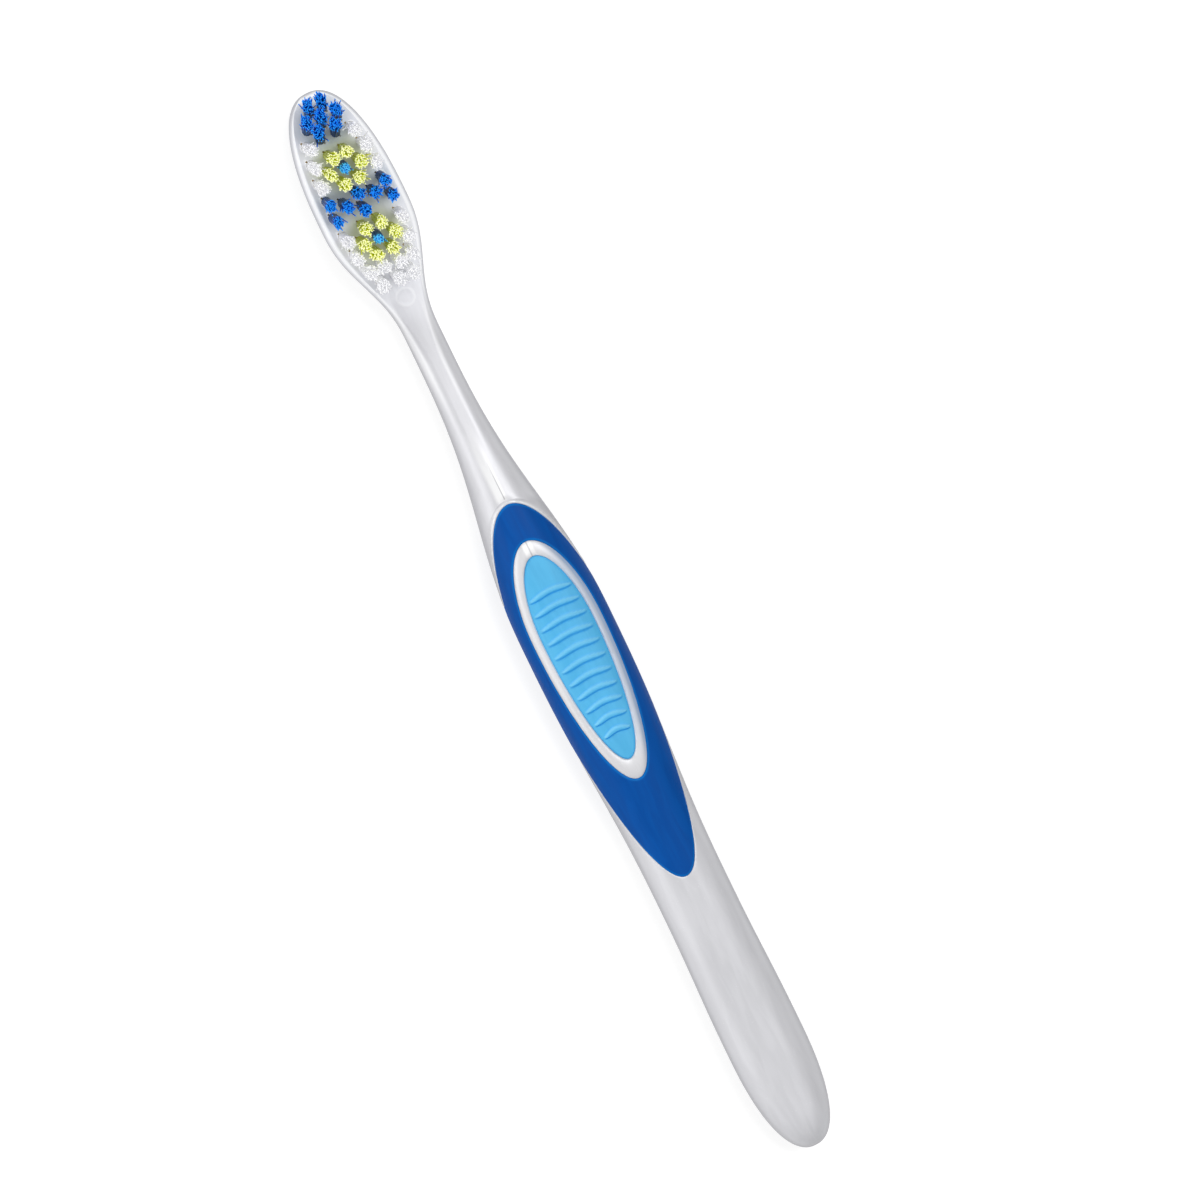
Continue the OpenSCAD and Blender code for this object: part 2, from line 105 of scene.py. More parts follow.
# Splay of a tuft's top over its base, and the extra splay of leaning tufts along and across
SPREAD = {ROYAL: 1.45, SKY: 1.2, LIME: 1.62, SNOW: 1.65}
LEANING_SPREAD = np.array([1.35, 0.98])

# Studio, in metres and degrees; a lamp is (place, size across and along, watts)
LAMPS = {
    "top_softbox": ((0.24, -0.38, 1.08), (0.42, 0.7), 7.4),
    "left_softbox": ((0.15, 0.75, 0.38), (0.5, 0.9), 3.9),
}
FLOOR_REACH, FLOOR_LEVEL, FLOOR_GREY = 1.6, -0.0002, (0.36, 0.36, 0.36, 1)
FLOOR_GLOW, AIR_GLOW = 0.76, 0.36
CAMERA_PLACE, CAMERA_TURN, CAMERA_LENS = (0.1779, 0.0433, 1.0597), (-7.387, -6.579, -115.579), 200

# Knots of the handle's outline, as (place, value) and the skew of the run up to it if it has one
WIDTH_KNOTS = [
    (HEAD_WIDE_AT, HEAD_W / 2), (NECK_AT, NECK_W / 2), (GRIP_WIDE_AT, GRIP_W / 2, 1.2),
    (WAIST_AT, WAIST_W / 2), (TAIL_AT, TAIL_W / 2),
]
FRONT_KNOTS = [
    (FACE_END_AT - 0.91, HEAD_TOP + FLAT_CUT), (FACE_END_AT, HEAD_TOP - FLAT_CUT),
    (NECK_AT, NECK_LIFT + NECK_T), (GRIP_HIGH_AT, GRIP_T),
    (WAIST_AT, WAIST_LIFT + WAIST_T), (TAIL_AT, TAIL_LIFT + TAIL_T),
]
BACK_KNOTS = [
    (FACE_END_AT, HEAD_LIFT), (NECK_AT, NECK_LIFT), (REST_FROM, -FLAT_CUT),
    (REST_TO, -FLAT_CUT), (WAIST_AT, WAIST_LIFT), (TAIL_AT, TAIL_LIFT),
]
FRONT_CORNERS = [
    (0, 0.2), (FACE_END_AT, 0.24), (NECK_AT + 6, 0.78), (GRIP_WIDE_AT, 0.86),
    (WAIST_AT, 0.86), (TAIL_AT, 0.86),
]
BACK_CORNERS = [
    (0, 0.55), (FACE_END_AT, 0.6), (NECK_AT, 0.92), (REST_FROM, 0.75),
    (REST_TO, 0.75), (WAIST_AT, 0.8), (TAIL_AT, 0.75),
]


def smooth(value, low, high):
    """0 below low, 1 above high, and 3t^2 - 2t^3 between them."""
    t = np.clip((value - low) / (high - low), 0, 1)
    return t * t * (3 - 2 * t)


def along(s, knots):
    """Value at a place: eased from knot to knot by 6t^5 - 15t^4 + 10t^3, t raised to the skew."""
    table = np.array([(*knot, 1)[:3] for knot in knots], float)
    i = np.clip(np.searchsorted(table[:, 0], s, side="right") - 1, 0, len(table) - 2)
    t = np.clip((s - table[i, 0]) / (table[i + 1, 0] - table[i, 0]), 0, 1) ** table[i + 1, 2]
    ease = t ** 3 * (t * (6 * t - 15) + 10)
    return table[i, 1] + (table[i + 1, 1] - table[i, 1]) * ease


def join(*rows):
    """Arrays one after another."""
    return np.concatenate(rows)


def unit(vectors):
    """Vectors brought to length 1."""
    return vectors / np.maximum(np.linalg.norm(vectors, axis=-1, keepdims=True), 1e-12)


def along_across(points):
    """Places along the brush of points, and their offsets from its middle line."""
    return TOTAL_L / 2 - points[..., 0], points[..., 1]


def end_share(t):
    """Share of the full size left at a share t of the way out to a rounded end."""
    return np.maximum(0, 1 - np.clip(t, 0, 1) ** END_POWER) ** (1 / END_POWER)


def half_width(s):
    """Half the handle's width: rounded at both ends and eased from knot to knot between."""
    toe = HEAD_W / 2 * end_share((HEAD_WIDE_AT - s) / HEAD_WIDE_AT)
    tail = TAIL_W / 2 * end_share((s - TAIL_AT) / TAIL_FROM_END)
    return np.where(s < HEAD_WIDE_AT, toe, np.where(s > TAIL_AT, tail, along(s, WIDTH_KNOTS)))


def profile(s):
    """Half width, middle height, reach upwards and downwards, and corner widths at a place."""
    front, back = along(s, FRONT_KNOTS), along(s, BACK_KNOTS)
    share = end_share((TOE_ROUND_L - s) / TOE_ROUND_L)
    share = share * end_share((s - TOTAL_L + TAIL_ROUND_L) / TAIL_ROUND_L)
    middle, half = (front + back) / 2, half_width(s)
    return (half, middle, share * (front - middle), share * (middle - back),
            half * along(s, FRONT_CORNERS), half * along(s, BACK_CORNERS))


def front_surface(s, y):
    """Height of the handle's front at a place and an offset from its middle line."""
    half, middle, up, _, corner, _ = profile(s)
    out = np.clip((np.abs(y) - half + corner) / corner, 0, 1)
    return middle + up * np.sqrt(1 - out * out)


def places(steps):
    """Stations along the brush from (start, end, step) runs, crowded towards both ends."""
    def crowded(t):
        return 1 - np.cos(t ** 1.3 * math.pi / 2)

    toe = steps[0][0] * crowded(np.linspace(0.02, 1, 26))
    tail = (TOTAL_L - steps[-1][1]) * crowded(np.linspace(1, 0.02, 30))
    return join(toe[:-1], *(np.arange(*run) for run in steps), TOTAL_L - tail)


def handle_grid(stations, corner_steps, flat_steps):
    """Points and outward normals of the handle on a grid of stations by columns.

    Each ring is y = g (w - c (1 - cos a)), z = m + h sin a. In its corners g is 1 or -1 and a
    turns from 0 to 90 degrees; on its flats a is 90 degrees and g runs from side to side.
    """
    turn = np.linspace(0, math.pi / 2, corner_steps + 1)[:-1]
    flat = np.linspace(-1, 1, flat_steps + 1)
    g = join(-np.ones(corner_steps), flat, np.ones(corner_steps))
    a = join(turn, np.full(flat_steps + 1, math.pi / 2), turn[::-1])
    front = np.arange(2 * len(g) - 2) < len(g)
    # the back goes round from left to right, without the two points that it shares
    g = join(g, -g[1:-1])
    a = join(a, a[1:-1])
    half, middle, up, down, wide_front, wide_back = (v[:, None] for v in profile(stations))
    corner = np.where(front, wide_front, wide_back)
    y = g * (half - corner * (1 - np.cos(a)))
    z = middle + np.where(front, up, -down) * np.sin(a)
    s = np.broadcast_to(stations[:, None], y.shape)
    z = np.where(s < FACE_END_AT, np.minimum(z, HEAD_TOP), z)
    points = np.stack([TOTAL_L / 2 - s, y, np.maximum(z, 0)], -1)
    lengthwise = np.gradient(points, axis=0)
    around = np.roll(points, -1, 1) - np.roll(points, 1, 1)
    return points, unit(np.cross(around, lengthwise)), front


def egg_depth(s, y, egg, normals=None):
    """How far inside an egg outline a point lies, in mm: (1 - r) over the slope of r.

    r is the length of (offset along / reach, offset across / half width). With normals given the
    distance is stretched, up to four times, to run along the surface instead of in plan.
    """
    start, wide_at, end, half = egg
    reach = np.where(s < wide_at, wide_at - start, end - wide_at)
    u, v = (s - wide_at) / reach, y / half
    r = np.maximum(np.hypot(u, v), 1e-6)
    slope_s, slope_y = u / reach / r, v / half / r
    slope = np.maximum(np.hypot(slope_s, slope_y), 1e-6)
    depth = (1 - r) / slope
    if normals is not None:
        tilt = (-slope_s * normals[..., 0] + slope_y * normals[..., 1]) / slope
        depth = depth / np.sqrt(np.maximum(1 - tilt * tilt, 0.06))
    return depth


def rib_height(s, y):
    """0 to 1 over the crescents across the grip: bent back by t^2 and thinned by 1 - t^4, where t is
    the offset over the half length of a rib."""
    start, wide_at, end, pad_half = PAD_EGG
    height = np.zeros(np.broadcast(s, y).shape)
    for i in range(RIB_COUNT):
        at = RIB_FIRST_AT + i * RIB_PITCH
        reach = wide_at - start if at < wide_at else end - wide_at
        width = math.sqrt(max(0.05, 1 - ((at + RIB_SPAN_LAG - wide_at) / reach) ** 2))
        half = RIB_SPAN * pad_half * width
        t2 = np.minimum((y / half) ** 2, 1)
        front = at + RIB_BEND * t2
        rear = front + RIB_W * (1 - t2 * t2)
        rise = smooth(s, front - 0.06, front + 0.4) * (1 - smooth(s, rear - 0.08, rear + 0.2))
        height = np.maximum(height, rise * (1 - smooth(np.abs(y), half * 0.88, half)))
    return height


# Meshes
def put(name, data):
    """A new object of the scene with the given data."""
    thing = bpy.data.objects.new(name, data)
    bpy.context.scene.collection.objects.link(thing)
    return thing


def write_lines(mesh, lines):
    """Writes named values over the points of a mesh, for its finish to read."""
    for key, values in lines.items():
        mesh.attributes.new(key, "FLOAT", "POINT").data.foreach_set("value", values.astype(np.float32))


def add_piece(name, points, faces, replaced, lines):
    """Writes points in mm and faces of one size into a smooth mesh that rides on the brush."""
    faces = np.asarray(faces, np.int32)
    mesh = bpy.data.meshes.new(name)
    mesh.vertices.add(len(points))
    mesh.vertices.foreach_set("co", (np.asarray(points) * MM).astype(np.float32).ravel())
    mesh.loops.add(faces.size)
    mesh.loops.foreach_set("vertex_index", faces.ravel())
    mesh.polygons.add(len(faces))
    mesh.polygons.foreach_set("loop_start", np.arange(0, faces.size, faces.shape[1], dtype=np.int32))
    mesh.polygons.foreach_set("use_smooth", np.ones(len(faces), bool))
    write_lines(mesh, lines)
    mesh.update(calc_edges=True)
    mesh.validate()
    piece = put(name, mesh)
    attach(piece, "root")
    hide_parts(*replaced)
    return piece


def grid_triangles(rows, columns, closed=True):
    """Two triangles for each cell of a grid, closed on itself after the last column or left open.
    They face outwards where rows run towards the tail and columns turn from right over the top."""
    cells = np.arange(columns if closed else columns - 1)
    i, j = np.meshgrid(np.arange(rows - 1), cells, indexing="ij")
    a, b = i * columns + j, i * columns + (j + 1) % columns
    c, d = a + columns, b + columns
    return join(np.stack([a, b, c], -1).reshape(-1, 3), np.stack([b, d, c], -1).reshape(-1, 3))


def end_fans(rows, columns):
    """Triangles that close a grid's toe and tail end about the two points after its last one."""
    toe, centre = np.arange(columns), rows * columns
    tail = toe + centre - columns
    return join(np.stack([np.full(columns, centre), np.roll(toe, -1), toe], 1),
                np.stack([np.full(columns, centre + 1), tail, np.roll(tail, -1)], 1))


def grid_data(points, normals, fields):
    """A row for each point of a grid, with its place, its normal and then its fields."""
    data = np.concatenate([points, normals, np.stack(fields, -1)], -1)
    return data.reshape(-1, data.shape[-1])


def imprint(data, triangles, field):
    """Cuts the triangles of a mesh along the line where a field over its points is 0.

    A crossing lies at the share f0 / (f0 - f1) of the way along its edge, and every column of the
    data is taken at that share. Values next to 0 are moved off it first, so no sliver is left.
    """
    field = np.where(np.abs(field) < CUT_SNAP, np.copysign(CUT_SNAP, field), field)
    inside = field[triangles] > 0
    count = inside.sum(1)
    odd = np.where(count == 1, inside.argmax(1), (~inside).argmax(1))
    turned = np.take_along_axis(triangles, (odd[:, None] + np.arange(3)) % 3, 1)
    cut = (count == 1) | (count == 2)
    a, b, c = turned[cut].T
    ends = np.sort(join(np.stack([a, b], 1), np.stack([a, c], 1)), 1)
    edges, where = np.unique(ends, axis=0, return_inverse=True)
    where = where.reshape(-1) + len(data)
    p, q = edges.T
    share = (field[p] / (field[p] - field[q]))[:, None]
    ab, ac = where[:len(a)], where[len(a):]
    parts = [np.stack(part, 1) for part in ([a, ab, ac], [ab, b, c], [ab, c, ac])]
    data = join(data, data[p] + share * (data[q] - data[p]))
    return data, join(triangles[~cut], *parts)


def kept(data, triangles, keep):
    """The triangles of a mesh that a mask or a slice keeps, with only the points that they use."""
    used, triangles = np.unique(triangles[keep], return_inverse=True)
    return data[used], triangles.reshape(-1, 3)


def rim_edges(triangles):
    """Directed edges that only one triangle has."""
    edges = join(triangles[:, [0, 1]], triangles[:, [1, 2]], triangles[:, [2, 0]])
    a, b = edges.T.astype(np.int64)
    return edges[~np.isin(a * (a.max() + 1) + b, b * (a.max() + 1) + a)]


def rim_walls(triangles, step):
    """Two triangles down from each rim edge to the copies of its ends, that many points on."""
    p, q = rim_edges(triangles).T
    return join(np.stack([q, p, p + step], 1), np.stack([q, p + step, q + step], 1))


def add_skin(name, outer, inner, triangles, replaced, lines):
    """Closed piece between an outer skin and its inner copy, with a wall along every rim."""
    n = len(outer)
    faces = join(triangles, triangles[:, ::-1] + n, rim_walls(triangles, n))
    lines = {key: np.concatenate([values.ravel()] * 2) for key, values in lines.items()}
    return add_piece(name, join(outer, inner), faces, replaced, lines)


def rounded_edge(depth, radius):
    """Drop of a surface near its edge: a quarter circle of the radius, 0 beyond it."""
    near = np.clip(1 - depth / radius, 0, 1)
    return radius * (1 - np.sqrt(np.maximum(0, 1 - near * near)))


def egg_fields(points, normals, front):
    """Depths inside the sleeve's, the window's and the pad's outline, as a list of three grids. All
    of the back counts as outside the last two."""
    s, y = along_across(points)
    leaf, window, pad = (egg_depth(s, y, egg, normals) for egg in (SLEEVE_EGG, WINDOW_EGG, PAD_EGG))
    return [leaf, np.where(front, window, FAR_OUTSIDE), np.where(front, pad, FAR_OUTSIDE)]


def bell(value, centre, width):
    """exp(-((value - centre) / width)^2)"""
    return np.exp(-((value - centre) / width) ** 2)


def handle_relief(s, y, z, leaf, window, pad, front):
    """Small forms of the moulding, in mm off its base surface: the crowned ring, the lip round the
    sleeve's point with a groove outside it and a ridge that runs up to it, the ejector mark's sunk
    disc and soft rim, and the seam."""
    share = np.clip(window / np.maximum(window - pad, 1e-6), 0, 1)
    crown = RING_CROWN * np.sqrt(np.maximum(0, 1 - (2 * share - 1) ** 2)) - RING_SINK
    lip = bell(leaf, -0.26, 0.2) * (1 - smooth(s, 77, 92))
    groove = bell(leaf, -0.66, 0.13) * (1 - smooth(s, 72.6, 75.5))
    ridge = bell(y, 0, 0.85) * smooth(s, 58, 69) * (1 - smooth(s, 70.8, 71.8))
    away = np.hypot(s - MARK_AT, y)
    disc, rim = 1 - smooth(away, MARK_R - 0.35, MARK_R), bell(away, MARK_R + 0.15, 0.17)
    lines = LIP_H * lip - GROOVE_DEPTH * groove + RIDGE_H * ridge - DISC_DEPTH * disc + DISC_RIM_H * rim
    seam = SEAM_H * bell(z, profile(s)[1], 0.14)
    return np.where(front, np.where(window > 0, crown, 0) + lines, 0) + seam


def make_handle():
    """Pearl moulding: the handle's grid, cut along the outlines of the soft pieces and sunk inside
    them, with a wall down every cut and its small forms on top."""
    stations = places([
        (4.0, 31.0, 0.5), (31.0, 39.0, 0.16), (39.0, 64.0, 0.45), (64.0, 83.0, 0.22),
        (83.0, 140.0, 0.42), (140.0, TAIL_AT, 0.7),
    ])
    points, normals, front = handle_grid(stations, 20, 26)
    rows, columns = points.shape[:2]
    fields = egg_fields(points, normals, front)
    data = grid_data(points, normals, [*fields, np.broadcast_to(front, (rows, columns))])
    data = join(data, [data[:columns].mean(0), data[-columns:].mean(0)])
    faces = join(grid_triangles(rows, columns), end_fans(rows, columns))
    rolled = [(LEAF, -ROLL_W), (WINDOW, ROLL_W), (PAD, -ROLL_W)]
    for column, level in [(LEAF, 0), (WINDOW, 0), (PAD, 0), *rolled, (LEAF, -0.5)]:
        data, faces = imprint(data, faces, data[:, column] - level)
    middle = data[faces].mean(1)
    raised = (middle[:, LEAF] < 0) | ((middle[:, WINDOW] > 0) & (middle[:, PAD] < 0))
    point, normal = data[:, :3], unit(data[:, 3:LEAF])
    leaf, window, pad, on_front = data[:, LEAF:].T
    lift = handle_relief(*along_across(point), point[:, 2], leaf, window, pad, on_front > 0.5)
    rim = np.where(leaf < 0, -leaf, np.minimum(window, -pad))
    rolled_over = ROLL_DROP * (1 - np.clip(rim / ROLL_W, 0, 1)) ** 2
    top = point + normal * (lift - rolled_over)[:, None]
    low = point - normal * CORE_DEPTH
    n = len(data)
    faces = join(faces[raised], faces[~raised] + n, rim_walls(faces[raised], n))
    points, faces = kept(join(top, low), faces, slice(None))
    return add_piece("handle_shell", points, faces, ["handle_body"], {})


def tuft_places():
    """Zones of tufts as {name: (places, height, lean, slot)}; a place is (along, across)."""
    def at(start, unit, shares, side=1):
        """Places at shares of a unit behind a start, and of the field's half width to a side."""
        return np.array([(start + unit * a, side * FIELD_HALF_W * b) for a, b in shares])

    def upright(spots, slot, height=TUFT_H):
        return spots, height, 0, slot

    def cup(start):
        a = np.arange(6) * math.pi / 3
        return upright(np.stack([start + CUP_R * np.sin(a), CUP_R * np.cos(a)], 1), LIME)

    def core(start):
        return upright(np.array([(start, 0.0)]), SKY, CORE_TUFT_H)

    def band(shares, side=1):
        return upright(at(BAND_AT, ROW_GAP, shares, side), ROYAL)

    def edge(side):
        front = at(FRONT_CUP_AT, CUP_R, [(-1.88, .79), (-.76, .9), (.43, .965)], side)
        rear = at(REAR_CUP_AT, CUP_R, [(-.65, .98), (.58, .9)], side)
        return upright(join(front, rear), SNOW)

    toe = [(0, .235), (0, -.235), (1, 0), (1, .53), (1, -.53), (1.92, .27), (1.92, -.27)]
    flank = [(-.13, .97), (.42, .51), (1.1, 1)]
    heel = [(0, .255), (0, -.255), (-.09, .765), (-.09, -.765), (1.09, 0), (1.09, .51), (1.09, -.51)]
    return {
        "toe_tufts": (at(FIRST_ROW_AT, ROW_GAP, toe), TOE_TUFT_H, TOE_LEAN, ROYAL),
        "front_cup_tufts": cup(FRONT_CUP_AT),
        "front_core_tuft": core(FRONT_CUP_AT),
        "centre_band_tufts": band([(0, 0), (1.15, 0)]),
        "left_band_tufts": band(flank),
        "right_band_tufts": band(flank, -1),
        "rear_cup_tufts": cup(REAR_CUP_AT),
        "rear_core_tuft": core(REAR_CUP_AT),
        "left_side_tufts": edge(1),
        "right_side_tufts": edge(-1),
        "heel_tufts": upright(at(HEEL_AT, ROW_GAP, heel), SNOW),
    }


def leaned(points, base, lean):
    """Turns points about the tuft's own Y axis and sets them on the head's face."""
    x = points[..., 0] * math.cos(lean) + points[..., 2] * math.sin(lean)
    z = points[..., 2] * math.cos(lean) - points[..., 0] * math.sin(lean)
    return np.stack([TOTAL_L / 2 - base[0] + x, base[1] + points[..., 1], HEAD_TOP + z], -1)


def hole_outline():
    """A tuft hole's outline: a circle with a notch on each side where its anchor went in."""
    corners = [math.asin(ANCHOR_HALF_T / HOLE_R), math.atan(ANCHOR_HALF_T / ANCHOR_HALF_W)]
    notches = [ANCHOR_ANGLE + half_turn + side * corner
               for half_turn in (0, math.pi) for side in (1, -1) for corner in corners]
    circle = np.linspace(0, 2 * math.pi, HOLE_STEPS, endpoint=False)
    angle = np.sort(join(circle, notches) % (2 * math.pi))
    ray = angle - ANCHOR_ANGLE
    notch = np.minimum(ANCHOR_HALF_W / np.abs(np.cos(ray)), ANCHOR_HALF_T / np.abs(np.sin(ray)))
    radius = np.maximum(HOLE_R, notch)
    return np.stack([radius * np.cos(angle), radius * np.sin(angle)], 1)


def drill_holes(shell, zones):
    """Cuts the blind tuft holes, with a prism for each that leans as its tuft does."""
    outline = hole_outline()
    n = len(outline)
    i = np.arange(n)
    rings = [np.column_stack([outline, np.full(n, z)]) for z in (-HOLE_DEPTH, CUTTER_RISE)]
    prism = [*np.stack([i, np.roll(i, -1), np.roll(i, -1) + n, i + n], 1), i[::-1], i + n]
    faces, points = [], []
    for spots, _, lean, _ in zones.values():
        for spot in spots:
            faces.extend((face + 2 * n * len(points)).tolist() for face in prism)
            points.append(leaned(join(*rings), spot, lean))
    mesh = bpy.data.meshes.new("hole_cutter")
    mesh.from_pydata((join(*points) * MM).tolist(), [], faces)
    cutter = put("hole_cutter", mesh)
    cut = shell.modifiers.new("holes", "BOOLEAN")
    cut.operation, cut.solver, cut.object = "DIFFERENCE", "EXACT", cutter
    result = bpy.data.meshes.new_from_object(shell.evaluated_get(bpy.context.evaluated_depsgraph_get()))
    shell.modifiers.clear()
    result.name = "handle_shell"
    # points that the cut left too close are joined, and what falls flat goes
    work = bmesh.new()
    work.from_mesh(result)
    bmesh.ops.remove_doubles(work, verts=work.verts, dist=MERGE_WITHIN * MM)
    bmesh.ops.dissolve_degenerate(work, edges=work.edges, dist=MERGE_WITHIN * MM)
    work.to_mesh(result)
    work.free()
    shell.data = result
    bpy.data.meshes.remove(mesh)
    result.polygons.foreach_set("use_smooth", np.ones(len(result.polygons), bool))
    result.set_sharp_from_angle(angle=SHARP_ANGLE)


def shade_shell(mesh, zones):
    """Writes where painted light and shade go on the moulding: painted coloured shade near the lime and
    the blue tufts, painted shade on its sides, a painted highlight along the head's clear edge, and where
    its front is."""
    place, normal = np.empty(len(mesh.vertices) * 3), np.empty(len(mesh.vertices) * 3)
    mesh.vertices.foreach_get("co", place)
    mesh.vertices.foreach_get("normal", normal)
    place, normal = place.reshape(-1, 3) / MM, normal.reshape(-1, 3)
    s, y = along_across(place)
    shares = {}
    # painted coloured shade: the plate round those tufts is tinted in their darker colour, as if their
    # light and shade fell on it
    for key, slot in {"lime_cast_shade": LIME, "blue_cast_shade": ROYAL}.items():
        spots = join(*(zone[0] for zone in zones.values() if zone[3] == slot))
        away = np.hypot(s[:, None] - spots[:, 0], y[:, None] - spots[:, 1])
        shares[key] = np.minimum(bell(away, 0, TINT_REACH).sum(1), 1) * (s < FACE_END_AT + 4)
    # painted shade: the sides, where the surface turns away from the top, are darkened
    shares["side"] = 1 - smooth(np.abs(normal[:, 2]), 0.1, 0.62)
    # painted highlight: a pale band along the rounded rim of the head's face
    near_edge = (half_width(s) - np.abs(y) < 2.2) & (normal[:, 2] > 0)
    shares["border_highlight"] = bell(np.hypot(normal[:, 0], normal[:, 1]), 0.72, 0.2) * near_edge
    shares["front"] = smooth(place[:, 2] - profile(s)[1], 0.0, 0.5)
    write_lines(mesh, shares)


def make_sleeve():
    """Dark elastomer: the handle's skin inside the leaf outline, less the window, with its edges
    rounded over and grooves pressed into its back."""
    stations = np.arange(SLEEVE_EGG[0] - 0.6, SLEEVE_EGG[2] + 0.6, 0.32)
    points, normals, front = handle_grid(stations, 24, 20)
    leaf, window, _ = egg_fields(points, normals, front)
    groove = rib_height(*along_across(points)) * ~front * (points[..., 2] < 1.5)
    data = grid_data(points, normals, [leaf, window, groove])
    faces = grid_triangles(*leaf.shape)
    for level in (0, 0.06, 0.15, 0.28, SLEEVE_EDGE_R):
        data, faces = imprint(data, faces, data[:, LEAF] - level)
        data, faces = imprint(data, faces, -data[:, WINDOW] - level)
    middle = data[faces].mean(1)
    data, faces = kept(data, faces, (middle[:, LEAF] > 0) & (middle[:, WINDOW] < 0))
    point, normal = data[:, :3], unit(data[:, 3:LEAF])
    leaf, window, groove = data[:, LEAF:].T
    edge = np.maximum(np.minimum(leaf, -window), 0)
    drop = SLEEVE_EDGE_SHARE * rounded_edge(edge, SLEEVE_EDGE_R)
    outer = point + normal * (SLEEVE_RISE - drop - RIB_RISE * groove)[:, None]
    inner = point - normal * SLEEVE_DEPTH
    outer[:, 2] = np.maximum(outer[:, 2], 0)
    # painted shade in the grooves on the back; no painted highlight here
    lines = {"edge": edge, "rib_highlight": 0 * groove, "rib_shade": groove}
    return add_skin("soft_sleeve", outer, inner, faces, ["grip_sleeve"], lines)


def make_pad():
    """Light elastomer pad: chords across the pad's egg outline on the handle's front, with ribs.

    A station lies at s = widest - reach cos(p), its chord is half width x sin(p) long each way,
    and a point on it at the share sin(q).
    """
    start, wide_at, end, half = PAD_EGG
    quarter, tip = math.pi / 2, 0.03
    p = join(np.linspace(tip, quarter, 110)[:-1], np.linspace(quarter, math.pi - tip, 180))
    p, q = np.meshgrid(p, np.linspace(-quarter, quarter, 61), indexing="ij")
    s = wide_at - np.where(p < quarter, wide_at - start, end - wide_at) * np.cos(p)
    y = -half * np.sin(p) * np.sin(q)
    depth = np.maximum(egg_depth(s, y, PAD_EGG), 0)
    ribs = rib_height(s, y)
    crown = PAD_CROWN * (np.sin(p) * np.cos(q)) ** 2
    drop = PAD_EDGE_SHARE * rounded_edge(depth, PAD_EDGE_R)
    z = front_surface(s, y) - PAD_SINK + crown + RIB_RISE * ribs - drop
    # painted highlight on the ribs' rising fronts, painted shade on their steep rears and a painted shadow
    # just ahead of each rib
    slope = np.gradient(ribs, axis=0) / np.gradient(s, axis=0)
    shadow_ahead = 0.3 * rib_height(s + 0.35, y) * (1 - smooth(ribs, 0, 0.25))
    lines = {"edge": depth, "rib_highlight": np.clip(slope / 3, 0, 1),
             "rib_shade": np.maximum(np.clip(-slope / 4, 0, 1), shadow_ahead)}
    top = np.stack([TOTAL_L / 2 - s, y, z], -1).reshape(-1, 3)
    # the columns run from left to right here, so the triangles are turned round
    faces = grid_triangles(*s.shape, closed=False)[:, ::-1]
    low = top - [0, 0, PAD_DEPTH]
    return add_skin("ribbed_pad", top, low, faces, ["thumb_pad"], lines)


def spiral(total, offset, rng):
    """Places in a tuft hole on a sunflower spiral that starts at a drawn angle."""
    k = np.arange(total)
    radius = (HOLE_R - FILAMENT_INSET) * np.sqrt((k + offset) / total)
    turn = k * SPIRAL_STEP + rng.uniform(0, SPIRAL_TURN)
    return np.stack([radius * np.cos(turn), radius * np.sin(turn)], 1)


def draw_tuft(height, spread, rng):
    """Bases, tips, heights and shades of one tuft's filaments. A tip is drawn towards a clump, and
    the tuft's top is a little oval, domed and off its root."""
    n, clumps = FILAMENT_COUNT, CLUMP_COUNT
    base = spiral(n, 0.5, rng) + rng.normal(0, BASE_STRAY, (n, 2))
    clump = spiral(clumps, 0.4, rng)
    own = np.hypot(*(base[:, None] - clump).transpose(2, 0, 1)).argmin(1)
    pull = rng.uniform(0.0, CLUMP_PULL, (n, 1))
    clump_tip = clump * spread * rng.normal(1, CLUMP_VARIES, (clumps, 1))
    clump_tip = clump_tip + rng.normal(0, TIP_STRAY, clump.shape)
    tip = base * spread * (1 - pull) + clump_tip[own] * pull + rng.normal(0, TIP_STRAY, base.shape)
    way = rng.uniform(0, math.pi)
    axis = np.array([math.cos(way), math.sin(way)])
    tip = tip - rng.uniform(0, TUFT_OVAL) * (tip @ axis)[:, None] * axis
    loose = rng.random((n, 1)) < LOOSE_SHARE
    tip = tip + rng.normal(0, TUFT_STRAY, 2) + loose * rng.normal(0, LOOSE_STRAY, base.shape)
    dome = 1 - TUFT_DOME * (np.hypot(*tip.T) / HOLE_R) ** 2
    top = height * dome + rng.normal(0, TOP_VARIES, n)
    top = top + rng.normal(0, CLUMP_TOP_VARIES, clumps)[own] + TOP_LIFT
    shade = rng.random(n) * OWN_SHADE + rng.random(clumps)[own] * CLUMP_SHADE
    return base, tip, np.minimum(top, height + TOP_LIMIT), np.clip(shade, 0, 1)


def tube_faces():
    """Quads of one six-sided filament: its sides ring by ring, and two at each end."""
    n, rings = FILAMENT_SIDES, len(RING_AT)
    i, k = np.meshgrid(np.arange(rings - 1), np.arange(n), indexing="ij")
    a, b = i * n + k, i * n + (k + 1) % n
    side = np.stack([a, b, b + n, a + n], -1).reshape(-1, 4)
    root = np.array([[3, 2, 1, 0], [5, 4, 3, 0]])
    return join(side, root[:, ::-1] + (rings - 1) * n, root)


